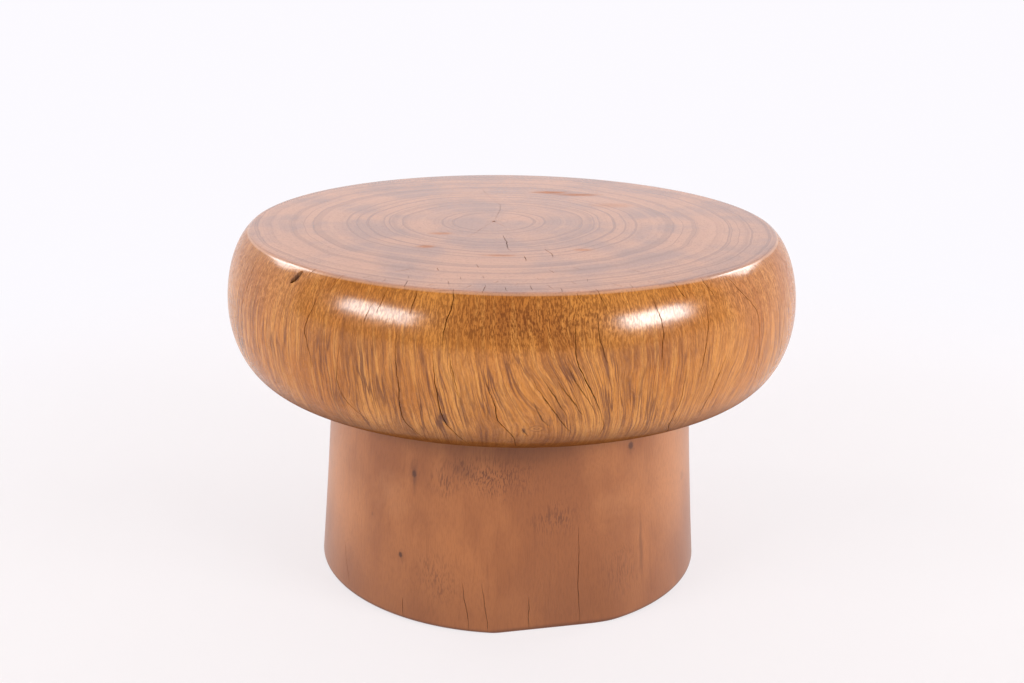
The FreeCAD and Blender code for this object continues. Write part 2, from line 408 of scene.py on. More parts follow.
# splits on the sides and back, of the same kind as those in front
backChecks = [
    ([(70.1, 330.8), (72.2, 353.1), (72.7, 386.2), (75, 423.7)], 1.3, 8),
    ([(88, 322.1), (88.6, 343.8), (89.5, 364.6)], 1.2, 6),
    ([(101, 374.6), (102.4, 406.7), (101.6, 448.7), (103, 490.7)], 1.3, 8),
    ([(121, 327.5), (120.2, 351.7), (121.5, 379.7)], 1.4, 7),
    ([(139, 320.3), (140.5, 347.7), (139.6, 394.7), (141, 432.7)], 1.5, 9),
    ([(152, 386.7), (153.5, 422.7), (152.6, 468.7)], 1.2, 7),
    ([(171, 324.8), (170.2, 349.7), (171.4, 382.7)], 1.4, 7),
    ([(-174, 398.7), (-172.6, 433.7), (-173.4, 472.7), (-171, 499.7)], 1.4, 8),
    ([(-158, 322.1), (-157, 341.9), (-158.2, 368.6), (-157.5, 407.7)], 1.5, 9),
    ([(-141, 333.1), (-140, 353.7)], 1.2, 5),
    ([(-127, 373.6), (-128.4, 411.7), (-127.4, 457.7)], 1.3, 7),
    ([(-108, 323), (-107, 346.8), (-107.8, 377.6), (-106.6, 414.7)], 1.5, 9),
    ([(-92, 341.9), (-91, 368.6)], 1.1, 5),
    ([(-79, 328.4), (-80.2, 354.7), (-79, 393.7), (-80.4, 440.7)], 1.4, 8),
    ([(-60, 335), (-59.6, 363.3), (-61.2, 398.7)], 1.2, 7),
    ([(62.9, 390.6), (62, 426.7), (63.4, 463.7)], 1.1, 6),
]
capChecks = frontChecks + [([p, q], width, shortDepth) for p, q, width in shortChecks]
capChecks += grainLines + [([p, q], width, crackleDepth) for p, q, width in topCrackle]
capChecks += backChecks
# star of checks at the pith, as points on the top in mm
pithStar = [
    ([(-24.1, 5), (-19.1, 49.2), (-16.1, 101.5), (-33.2, 159.8)], 0.34, 0.9),
    ([(-33.2, 159.8), (-45.3, 215.2)], 0.3, 0.8),
    ([(-24.1, 5), (-38.2, -39.3), (-54.3, -83.5)], 0.34, 0.9),
    ([(-24.1, 5), (8, 35.1), (36.2, 53.2), (60.3, 64.3)], 0.3, 0.8),
    ([(-24.1, 5), (-15.1, -13.1), (-9.1, -24.2)], 0.5, 1.8),
]
starLegs = 6
starSeed, barkSeed = 60, 90


def makeCap():
    s, b = capShape, bores
    ceiling = capLow.z + s["seatDepth"]
    rings = s["seatRings"]
    outline = capOutline() + [(s["seatRadius"], ceiling)]
    outline += [(s["seatRadius"] * (1 - k / rings), ceiling) for k in range(1, rings + 1)]
    cap = asObject("capTurned", turnOnLathe(outline, s["steps"]))
    cutters = []
    for k, (stations, width, depth) in enumerate(capChecks):
        spots = [onCap(*p) for p in easeThrough(stations, s["checkStep"])]
        wide = width * s["checkWidth"] / 1000
        cutters.append(dryingCheck(f"check{k}", spots, wide, depth / 1000, k))
    up = Vector((0, 0, 1))
    for k, (points, width, depth) in enumerate(pithStar):
        spots = []
        for p, q in zip(points, points[1:]):
            for i in range(starLegs):
                x, y = Vector(p).lerp(Vector(q), i / starLegs) / 1000
                spots.append((Vector((x, y, capHigh.z)), up))
        spots.append((Vector((*points[-1], capHigh.z * 1000)) / 1000, up))
        cutters.append(dryingCheck(f"star{k}", spots, width / 1000, depth / 1000, starSeed + k))
    # the pith's own hole and the small bark hole in the shoulder
    radius, segments, deep, over = s["pithHole"]
    high = capHigh.z
    cutters.append(bitOfDrill("pithHole", radius, segments, high - deep, high + over, *s["pith"]))
    hole = [onCap(*p) for p in easeThrough(s["barkHole"], 3)]
    cutters.append(dryingCheck("barkHole", hole, s["barkWidth"], s["barkDepth"], barkSeed))
    low = ceiling - b["overrun"]
    cutters += drillEach(dowelSpots, ("dowelBore", b["dowel"], low, ceiling + b["dowelReach"]))
    cutters += drillEach(screwSpots, ("pilotBore", b["pilot"], low, ceiling + b["pilotReach"]))
    carve(cap, cutters)
    softShade(cap, shadeAngle)

    def depthUnder(co):
        inSeat = math.hypot(co.x, co.y) < s["seatRadius"] + s["seatSlack"]
        if inSeat and co.z < capHigh.z - s["topZone"]:
            return 0.0
        return readCap(co)[0]

    markSplits(cap, depthUnder)
    # the grain of the rim runs down over the skin, so its place there is stored on the points
    flow = cap.data.attributes.new("skinFlow", 'FLOAT_VECTOR', 'POINT')
    around = s["flowRadius"]
    for k, vert in enumerate(cap.data.vertices):
        a = math.atan2(vert.co.x, -vert.co.y)
        along = readCap(vert.co)[1]
        flow.data[k].vector = (around * math.sin(a), -around * math.cos(a), along)
    return cap


# the pedestal

stumpShape = {
    "neck": 0.226,
    "foot": 0.2445,
    "waistDraw": 0.001,
    "footEdge": 0.003,
    "flatDepth": 0.012,
    "flatHeight": 0.13,
    "flatAzimuth": 13,
    "flatEase": (0.0005, 0.0048),  # how softly the dressed flat runs out, left and right
    "flatTurn": 30,  # degrees over which that changes
    "flatInner": 0.15,  # nothing nearer the axis than this is pushed in
    "steps": 360,
    "sideRows": 56,
    "headRings": 6,
    "edgePoints": 4,
    "footRings": 8,
    "checkStep": 4,
    "checkWidth": 0.56,
    "checkSeed": 100,
    "darkOutside": 0.2,  # only points farther out than this can lie in a check
    "darkInset": 0.0014,
}
stumpChecks = [
    ([(-30.8, 27), (-30.4, 14), (-30.1, 3.5)], 1.1, 6),
    ([(-12.5, 62), (-11.8, 40), (-10.8, 20), (-10.2, 3.5)], 1.2, 7),
    ([(-6.9, 64), (-6.4, 42), (-5.4, 20), (-5.1, 3.5)], 1.1, 7),
    ([(6.2, 46), (6.5, 25), (6.6, 3.5)], 1.1, 6),
    ([(20.2, 130), (20.5, 88), (20.4, 52), (21, 24), (21.2, 3.5)], 1.3, 8),
    ([(-56.6, 60), (-55, 36), (-52.6, 10)], 0.9, 5),
    ([(78, 71), (79, 40), (78.4, 3.5)], 1.2, 7),
    ([(112, 38), (112.6, 3.5)], 1, 5),
    ([(143, 96), (142, 60), (142.8, 24), (142.2, 3.5)], 1.3, 8),
    ([(-170, 54), (-169.4, 3.5)], 1.1, 6),
    ([(-128, 83), (-129, 44), (-128.4, 3.5)], 1.2, 7),
    ([(-92, 41), (-92.8, 3.5)], 1, 5),
]


def stumpSide(z):
    s = stumpShape
    t = (z - stumpLow.z) / (capLow.z - stumpLow.z)
    return s["foot"] + (s["neck"] - s["foot"]) * t - s["waistDraw"] * 4 * t * (1 - t)


def flatPlane():
    # a point and the outward direction of the flat dressed on the foot
    s = stumpShape
    out = outward(s["flatAzimuth"])
    low = out * (s["foot"] - s["flatDepth"]) + Vector((0, 0, stumpLow.z))
    t = s["flatHeight"] / (capLow.z - stumpLow.z)
    reach = (s["neck"] - s["foot"]) * t + s["flatDepth"]
    slope = Vector((0, 0, s["flatHeight"])) + out * reach
    across = slope.cross(out).normalized()
    return low, across.cross(slope).normalized(), out


def makeStump():
    s, b = stumpShape, bores
    line = [(s["neck"] * k / s["headRings"], stumpHigh.z) for k in range(s["headRings"] + 1)]
    line.append((s["neck"], capLow.z))
    lowest = stumpLow.z + s["footEdge"]
    for k in range(1, s["sideRows"] + 1):
        z = capLow.z + (lowest - capLow.z) * k / s["sideRows"]
        line.append((stumpSide(z), z))
    corner = stumpSide(lowest) - s["footEdge"]
    for k in range(1, s["edgePoints"] + 1):
        t = math.pi / 2 * k / s["edgePoints"]
        line.append((corner + s["footEdge"] * math.cos(t), lowest - s["footEdge"] * math.sin(t)))
    rings = s["footRings"]
    line += [(corner * (1 - k / rings), stumpLow.z) for k in range(1, rings + 1)]
    bm = turnOnLathe(line, s["steps"])
    low, facing, out = flatPlane()
    if facing.dot(out) < 0:
        facing = -facing
    left, right = s["flatEase"]
    for vert in bm.verts:
        # soft minimum of the turned side and the dressed flat
        over = (vert.co - low).dot(facing)
        turn = math.degrees(math.atan2(vert.co.x, -vert.co.y)) - s["flatAzimuth"]
        ease = left + (right - left) * min(1, max(0, 0.5 + turn / s["flatTurn"]))
        if over > -ease and math.hypot(vert.co.x, vert.co.y) > s["flatInner"]:
            push = over if over > ease else (over + ease) ** 2 / (4 * ease)
            vert.co -= out * push / facing.dot(out)
    stump = asObject("stumpTurned", bm)
    cutters = []
    for k, (stations, width, depth) in enumerate(stumpChecks):
        spots = []
        for azimuth, high in easeThrough(stations, s["checkStep"]):
            way = outward(azimuth)
            point = way * stumpSide(high / 1000) + Vector((0, 0, high / 1000))
            over = (point - low).dot(facing)
            spots.append((point - out * max(0, over), way))
        wide = width * s["checkWidth"] / 1000
        cutters.append(dryingCheck(f"footCheck{k}", spots, wide, depth / 1000, s["checkSeed"] + k))
    above, below = stumpHigh.z + b["overrun"], stumpLow.z - b["overrun"]
    deck = stumpHigh.z - b["deck"]
    base = stumpHigh.z - b["dowelReach"]
    cutters += drillEach(dowelSpots, ("dowelBore", b["dowel"], base, above))
    cutters += drillEach(screwSpots, ("counterbore", b["counterbore"], below, deck),
                         ("shankBore", b["shank"], deck - b["shankOverlap"], above))
    cutters += drillEach(glideSpots, ("glidePocket", b["pocket"], below, b["pocketTop"]),
                         ("nailBore", b["nail"], b["nailFrom"], b["nailTop"]))
    carve(stump, cutters)
    softShade(stump, shadeAngle)

    def depthUnder(co):
        r = math.hypot(co.x, co.y)
        if co.z > capLow.z or r < s["darkOutside"]:
            return 0.0
        inside = min(stumpSide(co.z) - r, -(co - low).dot(facing))
        return max(0.0, inside - s["darkInset"])

    markSplits(stump, depthUnder)
    return stump


cap = makeCap()
print("cap turned and split", len(cap.data.polygons))
stump = makeStump()
print("stump turned and split", len(stump.data.polygons))
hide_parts("tabletop")
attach(cap, "root")
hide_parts("pedestal")
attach(stump, "root")


# node helpers, which build in the tree that was started last

bench = {}


def wire(node, feeds):
    # links sockets and sets plain values
    for key, value in feeds.items():
        if isinstance(value, bpy.types.NodeSocket):
            node.id_data.links.new(value, node.inputs[key])
        else:
            node.inputs[key].default_value = value


def put(kind, feeds, **settings):
    node = bench["tree"].nodes.new(kind)
    for key, value in settings.items():
        setattr(node, key, value)
    wire(node, feeds)
    return node


def calc(operation, a, b=0.0, c=0.0):
    return put('ShaderNodeMath', {0: a, 1: b, 2: c}, operation=operation).outputs[0]


def minus(a, b):
    return calc('SUBTRACT', a, b)


def times(a, b, plus=0.0):
    return calc('MULTIPLY_ADD', a, b, plus)


def vec(operation, a, b=(0, 0, 0)):
    node = put('ShaderNodeVectorMath', {0: a, 1: b}, operation=operation)
    return node.outputs["Value" if operation in ('LENGTH', 'DISTANCE') else "Vector"]


def scaled(vector, amount):
    return put('ShaderNodeVectorMath', {0: vector, 3: amount}, operation='SCALE').outputs[0]


def stepUp(value, low, high, toLow=0.0, toHigh=1.0):
    feeds = {"Value": value, "From Min": low, "From Max": high, "To Min": toLow, "To Max": toHigh}
    return put('ShaderNodeMapRange', feeds, interpolation_type='SMOOTHSTEP').outputs[0]


def noiseOn(coords, scale, detail, rough=0.5, out="Fac"):
    feeds = {"Vector": coords, "Scale": scale, "Detail": detail, "Roughness": rough}
    return put('ShaderNodeTexNoise', feeds).outputs[out]


def stretched(coords, stretch, scale, detail, rough=0.5):
    # noise drawn out along the grain
    return noiseOn(vec('MULTIPLY', coords, (1, 1, stretch)), scale, detail, rough)


def blendColor(factor, a, b):
    return put('ShaderNodeMix', {0: factor, 6: a, 7: b}, data_type='RGBA').outputs[2]


def startGroup(name, takes, gives):
    # a number makes a value socket and a triple a vector socket
    tree = bench["tree"] = bpy.data.node_groups.new(name, 'ShaderNodeTree')
    for label, value in takes.items():
        kind = 'NodeSocketFloat' if isinstance(value, float) else 'NodeSocketVector'
        tree.interface.new_socket(label, in_out='INPUT', socket_type=kind).default_value = value
    for label in gives:
        tree.interface.new_socket(label, in_out='OUTPUT', socket_type='NodeSocketFloat')
    return tree, tree.nodes.new('NodeGroupInput').outputs, tree.nodes.new('NodeGroupOutput').inputs


def useGroup(group, feeds):
    return put('ShaderNodeGroup', feeds, node_tree=group).outputs


def startMaterial(name):
    mat = bpy.data.materials.new(name)
    mat.use_nodes = True
    bench["tree"] = mat.node_tree
    coords = put('ShaderNodeTexCoord', {}).outputs["Object"]
    return mat, mat.node_tree.nodes["Principled BSDF"], coords


# growth rings, fibres and pores of a log whose grain runs along Z
logGrain = {
    "drift": (4.5, 2.0),  # scale and detail
    "wave": (21.0, 1.5),
    "ringFollow": 0.06,  # how much the rings change along the log
    "rings": (4.0, 0.62),  # detail and roughness
    "lines": (2.0, 0.5),
    "linesFrom": 3.7,
    "linesFiner": 2.6,
    "fibres": (3.0, 0.6),
    "threads": (620.0, 2.0, 0.7),
    "pores": (0.12, 820.0, 1.0),  # stretch, scale and detail
    "blotch": (0.45, 11.0, 3.0, 0.55),
}


def buildLogFigure():
    g = logGrain
    tree, take, give = startGroup("logFigure", {
        "Position": (0, 0, 0), "Pith": (0, 0, 0), "Ring Scale": 80.0, "Fibre Scale": 260.0,
        "Fibre Length": 14.0, "Wander": 0.02, "Ripple": 0.004},
        ["Rings", "Lines", "Fibres", "Pores", "Blotch", "Threads"])
    bent = take["Position"]
    for key, amount in (("drift", "Wander"), ("wave", "Ripple")):
        push = noiseOn(take["Position"], *g[key], out="Color")
        push = scaled(vec('SUBTRACT', push, (0.5, 0.5, 0.5)), take[amount])
        bent = vec('ADD', bent, push)
    flat = vec('SUBTRACT', bent, take["Pith"])
    radius = vec('LENGTH', vec('MULTIPLY', flat, (1, 1, g["ringFollow"])))
    shifted = calc('ADD', radius, g["linesFrom"])
    finer = times(take["Ring Scale"], g["linesFiner"])
    made = {}
    for label, where, scale, (detail, rough) in (
            ("Rings", radius, take["Ring Scale"], g["rings"]),
            ("Lines", shifted, finer, g["lines"])):
        feeds = {"W": where, "Scale": scale, "Detail": detail, "Roughness": rough}
        made[label] = put('ShaderNodeTexNoise', feeds, noise_dimensions='1D').outputs[0]
    shrink = calc('DIVIDE', 1.0, take["Fibre Length"])
    squeeze = put('ShaderNodeCombineXYZ', {0: 1.0, 1: 1.0, 2: shrink}).outputs[0]
    drawn = vec('MULTIPLY', bent, squeeze)
    made["Fibres"] = noiseOn(drawn, take["Fibre Scale"], *g["fibres"])
    made["Threads"] = noiseOn(drawn, *g["threads"])
    made["Pores"] = stretched(bent, *g["pores"])
    made["Blotch"] = stretched(bent, *g["blotch"])
    for label, source in made.items():
        tree.links.new(source, give[label])
    return tree


# soft-edged mark around one place: a knot, stain or smear in the wood, or a patch of painted light
def buildMark():
    frayScale, frayDetail = 2.2, 3.0
    tree, take, give = startGroup("markAndLightPatch", {
        "Position": (0, 0, 0), "Centre": (0, 0, 0), "Size": (0.01, 0.01, 0.01), "Fray": 0.35,
        "Soft": 0.6}, ["Mask"])
    away = vec('SUBTRACT', take["Position"], take["Centre"])
    away = vec('DIVIDE', away, take["Size"])
    fray = noiseOn(away, frayScale, frayDetail)
    shift = times(minus(fray, 0.5), take["Fray"])
    reach = times(shift, 2.0, vec('LENGTH', away))
    inner = minus(1.0, take["Soft"])
    tree.links.new(stepUp(reach, inner, 1.0, 1.0, 0.0), give["Mask"])
    return tree


# streaks of the rim: centre, size in mm and lean of the places where they slant
rimLeans = [((9, 443), (75, 200, 110), -0.36), ((-3, 440), (200, 260, 150), -0.26),
            ((44, 440), (80, 120, 120), 0.34), ((110, 440), (120, 160, 140), -0.3),
            ((-140, 430), (140, 160, 140), 0.32)]
# where the streaks fade, and where the open grain is coarsest
rimCalm = [((-44, 455), (120, 120, 80), 0.8), ((4, 452), (46, 60, 46), 0.75),
           ((42, 430), (150, 150, 120), 0.8), ((-112, 440), (140, 140, 90), 0.6),
           ((172, 440), (140, 140, 90), 0.6)]
rimGritty = [((4, 366), (130, 90, 60), 1.0), ((98, 360), (110, 110, 60), 0.8),
             ((-150, 360), (110, 110, 60), 0.8)]
rimGrain = {
    "sway": [(9.0, 2.0, 0.022), (38.0, 1.0, 0.0035)],  # scale, detail and width in metres
    "leanAbout": 0.39,  # place over the skin that a lean turns about
    "broad": (0.075, 150.0, 1.5),  # stretch, scale, detail and roughness
    "drawn": (0.06, 190.0, 1.0, 0.4),
    "patch": (0.6, 24.0, 1.0),
    "fine": (0.07, 420.0, 2.0, 0.6),
    "grit": (0.28, 700.0, 2.0, 0.6),
    "ridge": (0.056, 0.01),
    "patches": (0.36, 0.58, 0.35, 1.0),
    "steps": [("Broad", "broad", 0.5, 0.62), ("Light", "broad", 0.46, 0.34),
              ("Fine", "fine", 0.48, 0.62), ("Grit", "grit", 0.43, 0.59)],
}


def buildRimStreaks():
    g = rimGrain
    tree, take, give = startGroup("rimStreaks", {"Flow": (0, 0, 0), "Lean": 0.0},
                                  ["Broad", "Lines", "Light", "Fine", "Grit"])
    # sideways direction along the rim
    parts = put('ShaderNodeSeparateXYZ', {0: take["Flow"]}).outputs
    sideways = put('ShaderNodeCombineXYZ', {0: times(parts[1], -1.0), 1: parts[0]})
    sideways = vec('NORMALIZE', sideways.outputs[0])
    shift = 0.0
    for scale, detail, width in g["sway"]:
        sway = noiseOn(take["Flow"], scale, detail)
        shift = times(minus(sway, 0.5), width, shift)
    shift = times(minus(parts[2], g["leanAbout"]), take["Lean"], shift)
    bent = vec('ADD', take["Flow"], scaled(sideways, shift))
    made = {key: stretched(bent, *g[key]) for key in ("broad", "drawn", "patch", "fine", "grit")}
    # thin lines where a figure of its own crosses the middle, in patches
    ridge = calc('ABSOLUTE', minus(made["drawn"], 0.5))
    patches = stepUp(made["patch"], *g["patches"])
    tree.links.new(times(stepUp(ridge, *g["ridge"]), patches), give["Lines"])
    for label, key, low, high in g["steps"]:
        tree.links.new(stepUp(made[key], low, high), give[label])
    return tree


logFigure = buildLogFigure()
markAndLightPatch = buildMark()
rimStreaks = buildRimStreaks()


def markMask(coords, spot, size, fray, soft):
    return useGroup(markAndLightPatch, {"Position": coords, "Centre": spot,
                    "Size": Vector(size) / 1000, "Fray": fray, "Soft": soft})[0]


def paintMarks(coords, color, marks, spotOf, edge, tone):
    # marks are (place, size in mm, strength), edge is fray and softness
    for place, size, strength in marks:
        mask = markMask(coords, spotOf(*place), size, *edge)
        color = blendColor(times(mask, strength), color, tone)
    return color


def layOver(color, figure, layers, finish):
    # layers are (figure, where it starts, where it is full, strength, tone)
    for label, low, high, strength, tone in layers:
        share = stepUp(figure[label], low, high, 0.0, strength)
        color = blendColor(share, color, finish[tone])
    return color


def capSpot(azimuth, along):
    return onCap(azimuth, along)[0]


def stumpSpot(azimuth, high):
    a = math.radians(azimuth)
    r = stumpSide(high / 1000)
    return (r * math.sin(a), -r * math.cos(a), high / 1000)


def gather(coords, places):
    total = 0.0
    for place, size, amount in places:
        total = times(markMask(coords, capSpot(*place), size, 0.0, 1.0), amount, total)
    return total


capFinish = {
    "pale": (0.59, 0.225, 0.04, 1),
    "mid": (0.48, 0.156, 0.02, 1),
    "light": (0.7, 0.3, 0.066, 1),
    # the top's tones are partly its own end-grain colour and partly a painted sheen, paler and
    # greyer
    "topPaleAndSheen": (0.53, 0.24, 0.13, 1),
    "topMidAndSheen": (0.365, 0.18, 0.125, 1),
    "streak": (0.14, 0.036, 0.007, 1),
    "line": (0.11, 0.026, 0.006, 1),
    # painted shade on the cap's underside
    "under": (0.17, 0.054, 0.015, 1),
    "pore": (0.1, 0.024, 0.006, 1),
    "split": (0.034, 0.0095, 0.004, 1),
    "red": (0.42, 0.125, 0.03, 1),
    # painted highlight along the edge of the top
    "edgeHighlight": (0.62, 0.33, 0.19, 1),
    "ringDark": (0.21, 0.085, 0.056, 1),
    # pale rings, greyed as a painted sheen
    "ringPaleAndSheen": (0.59, 0.275, 0.15, 1),
    "shade": (0.27, 0.08, 0.016, 1),
    "figure": {"Pith": (*capShape["pith"], 0), "Ring Scale": 62.0, "Fibre Scale": 230.0,
               "Fibre Length": 16.0, "Wander": 0.028, "Ripple": 0.006},
    "sideBand": (-0.0002, -0.0034),  # from the level top: edge, streaked band
    "lowBand": (-0.022, -0.082),
    # band on the underside that takes the painted shade, less lacquer and fainter streaks
    "underBand": (0.04, 0.002),  # from the underside
    # how strongly the painted highlight shows at the edge
    "edgeHighlightShare": 2.2,
    "coatRoughness": 0.19,
    "coatIor": 1.6,
    "specular": 0.0,
    "roughness": 0.24,
    "roughSpread": 0.12,
    "bumpStrength": 0.55,
    "bumpDepth": 0.0003,
    "topBump": 0.06,
}
capTopLayers = [("Rings", 0.46, 0.36, 0.3, "ringPaleAndSheen"), ("Rings", 0.5, 0.68, 0.3, "ringDark"),
                ("Lines", 0.585, 0.64, 0.48, "ringDark"), ("Fibres", 0.5, 0.75, 0.3, "ringDark")]
# centre on the cap as (azimuth, mm over the skin), then size in mm and strength
capRedMarks = [((165, 200), (36, 12, 6), 0.75), ((154, 200), (44, 12, 6), 0.65),
               ((-36.8, 164.3), (16, 10, 6), 0.6), ((-52.5, 107.0), (20, 9, 6), 0.5),
               ((-4.5, 168.7), (28, 7, 6), 0.5), ((30.8, 158.4), (16, 7, 6), 0.55),
               ((130.8, 173.7), (40, 20, 6), 0.25)]
capDarkMarks = [((-44.3, 334), (7, 7, 9), 0.7), ((-11.4, 458.7), (8, 8, 9), 0.7),
                ((2.5, 470.7), (3, 3, 6), 0.7)]
# soft darker clouds on the rim
capClouds = [((-1, 350), (90, 60, 42), 0.45), ((9, 374), (46, 46, 40), 0.35),
             ((26, 390), (75, 56, 28), 0.5), ((-27, 395), (40, 40, 30), 0.35),
             ((-62, 350), (40, 60, 50), 0.25), ((75, 420), (50, 60, 40), 0.3),
             ((120, 360), (70, 60, 40), 0.45), ((165, 410), (60, 60, 40), 0.4),
             ((-150, 370), (70, 60, 40), 0.45), ((-105, 420), (60, 60, 40), 0.35)]
# a small eye-shaped knot low on the rim, from its outer ring inwards
capEye = {"spot": (4.7, 468.1), "edge": (0.12, 0.4),
          "layers": [((10, 10, 5), "streak", 0.6), ((8, 8, 3.8), "pale", 0.7),
                     ((4.4, 4.4, 2.2), "streak", 0.6), ((2.2, 2.2, 1), "pale", 0.5)]}
# each streak's share: added on the streaked band, kept everywhere, its tone and change in places
rimMix = [("Light", 0.22, 0.34, "light", "calm", -0.6),
          ("Broad", 0.2, 0.1, "streak", "calm", -0.8),
          ("Lines", 0.64, 0.1, "line", "calm", -0.85),
          ("Fine", 0.16, 0.22, "streak", "calm", -0.1),
          ("Grit", -0.44, 0.55, "streak", "gritty", 0.65)]


def makeCapWood():
    f = capFinish
    mat, shader, coords = startMaterial("capWood")
    figure = useGroup(logFigure, {"Position": coords, **f["figure"]})
    upright = put('ShaderNodeSeparateXYZ', {0: coords}).outputs[2]
    side = stepUp(upright, *(capHigh.z + d for d in f["sideBand"]))
    low = stepUp(upright, *(capHigh.z + d for d in f["lowBand"]))
    under = stepUp(upright, *(capLow.z + d for d in f["underBand"]))
    flow = put('ShaderNodeAttribute', {}, attribute_name="skinFlow").outputs["Vector"]
    places = {"calm": gather(coords, rimCalm), "gritty": gather(coords, rimGritty)}
    streaks = useGroup(rimStreaks, {"Flow": flow, "Lean": gather(coords, rimLeans)})
    # flat top: growth rings on a browner ground, paled and greyed as a painted sheen of the white
    # backdrop
    top = blendColor(stepUp(figure["Blotch"], 0.38, 0.64), f["topPaleAndSheen"], f["topMidAndSheen"])
    top = layOver(top, figure, capTopLayers, f)
    # rim: streaks that run down over the skin on a golden ground
    rim = blendColor(stepUp(figure["Blotch"], 0.36, 0.66), f["pale"], f["mid"])
    rim = paintMarks(coords, rim, capClouds, capSpot, (0.4, 1.0), f["shade"])
    band = times(low, times(under, -0.6, 1.0))
    for label, onBand, always, tone, place, change in rimMix:
        share = times(streaks[label], times(band, onBand, always))
        share = times(share, times(places[place], change, 1.0))
        rim = blendColor(share, rim, f[tone])
    # painted shade: the underside is painted darker, where it faces the floor in shade
    rim = blendColor(times(under, 0.9), rim, f["under"])
    color = blendColor(side, top, rim)
    # painted highlight: the edge of the top is painted pale where the light catches it
    edgeHighlight = times(side, minus(1.0, side))
    color = blendColor(times(edgeHighlight, f["edgeHighlightShare"]), color, f["edgeHighlight"])
    pore = stepUp(figure["Pores"], 0.56, 0.68)
    color = blendColor(times(pore, times(side, -0.15, 0.35)), color, f["pore"])
    matt = 0.0
    for place, size, strength in capRedMarks:
        mask = times(markMask(coords, capSpot(*place), size, 0.5, 0.8), strength)
        color = blendColor(mask, color, f["red"])
        matt = calc('MAXIMUM', mask, matt)
    color = paintMarks(coords, color, capDarkMarks, capSpot, (0.5, 0.7), f["pore"])
    for size, tone, strength in capEye["layers"]:
        ring = [(capEye["spot"], size, strength)]
        color = paintMarks(coords, color, ring, capSpot, capEye["edge"], f[tone])
    split = put('ShaderNodeAttribute', {}, attribute_name="checkDark").outputs["Fac"]
    color = blendColor(split, color, f["split"])
    rough = times(figure["Threads"], f["roughSpread"], f["roughness"])
    # pores, splits and stains break the lacquer, and the underside has little of it
    holes = times(times(streaks["Grit"], side), 0.4)
    coat = minus(1.0, calc('MAXIMUM', holes, split))
    coat = times(coat, times(matt, -0.8, 1.0))
    coat = times(coat, times(under, -0.95, 1.0))
    height = times(streaks["Grit"], -1.0, times(figure["Threads"], 0.6))
    height = times(height, times(side, 1 - f["topBump"], f["topBump"]))
    bump = put('ShaderNodeBump', {"Height": height, "Strength": f["bumpStrength"],
               "Distance": f["bumpDepth"]})
    wire(shader, {"Base Color": color, "Roughness": times(split, 0.4, rough),
         "Coat Weight": coat, "Coat Roughness": f["coatRoughness"], "Coat IOR": f["coatIor"],
         "Specular IOR Level": f["specular"], "Normal": bump.outputs[0]})
    return mat


stumpFinish = {
    "pale": (0.39, 0.135, 0.041, 1),
    "mid": (0.285, 0.091, 0.027, 1),
    "streak": (0.15, 0.04, 0.012, 1),
    "pore": (0.13, 0.036, 0.012, 1),
    "split": (0.03, 0.01, 0.006, 1),
    "knot": (0.07, 0.019, 0.008, 1),
    # real stains, and also the painted shadow along the foot's lower edge
    "stainAndShadow": (0.095, 0.028, 0.012, 1),
    # painted shade: tone for the darker foot and the shadow under the cap
    "low": (0.21, 0.068, 0.023, 1),
    # painted light for the pedestal's sides
    "light": (0.53, 0.215, 0.082, 1),
    "figure": {"Pith": (0.03, 0.02, 0), "Ring Scale": 48.0, "Fibre Scale": 260.0,
               "Fibre Length": 22.0, "Wander": 0.035, "Ripple": 0.006},
    "coat": 0.42,
    "specular": 0.3,
    "coatRoughness": 0.3,
    "roughness": 0.35,
    "roughSpread": 0.14,
    "bumpStrength": 0.25,
    "bumpDepth": 0.0005,
}
stumpLayers = [("Rings", 0.5, 0.7, 0.16, "streak"), ("Fibres", 0.52, 0.74, 0.24, "streak")]
# painted shade: darker towards the foot, a painted shadow along the foot's lower edge and a painted
# shadow under the cap; heights where each starts and is full, strength and tone
stumpShadeBands = [(0.115, 0.006, 0.45, "low"),
              (stumpLow.z + 0.006, stumpLow.z + 0.001, 0.7, "stainAndShadow"),
              (capLow.z - 0.03, capLow.z - 0.004, 0.5, "low")]
# centre as (azimuth, height in mm), then size in mm and strength
stumpKnots = [((-28.1, 184), (4, 4, 6), 0.85), ((-31.9, 80), (3.5, 3.5, 4.5), 0.9),
              ((-43.3, 117.5), (2.5, 2.5, 3.5), 0.25), ((38, 214), (5, 5, 6), 0.8),
              ((104, 120), (5, 5, 7), 0.8), ((-150, 70), (4, 4, 6), 0.8)]
stumpStains = [((-28.1, 186), (8, 8, 22), 0.4), ((-31.5, 78), (7, 7, 13), 0.35),
               ((38, 212), (8, 8, 15), 0.35), ((-13, 197), (26, 18, 16), 0.35),
               ((42, 80), (5, 5, 75), 0.45), ((67, 139), (8, 12, 9), 0.3),
               ((-28, 172), (4, 4, 22), 0.35), ((128, 170), (20, 24, 40), 0.35),
               ((-110, 150), (16, 18, 46), 0.35)]
# pale patches of painted light on the pedestal's sides and back: centre, size in mm and strength
stumpPaintedLight = [((62, 165), (110, 140, 150), 0.65), ((-66, 140), (100, 120, 160), 0.55),
               ((-36, 150), (40, 40, 40), 0.35), ((34, 150), (46, 46, 30), 0.3),
               ((140, 150), (90, 90, 60), 0.4), ((-150, 120), (90, 90, 60), 0.4)]
# places where the fibres show as short dark dashes
stumpDashes = [((-6, 192), (78, 40, 34), 0.75), ((-19, 180), (22, 20, 30), 0.5),
               ((13, 140), (34, 30, 26), 0.6), ((-20, 62), (46, 40, 40), 0.4),
               ((34, 60), (40, 40, 46), 0.3), ((95, 180), (60, 60, 40), 0.6),
               ((150, 110), (50, 50, 50), 0.5), ((-140, 190), (60, 60, 36), 0.6),
               ((-95, 80), (50, 50, 50), 0.5)]


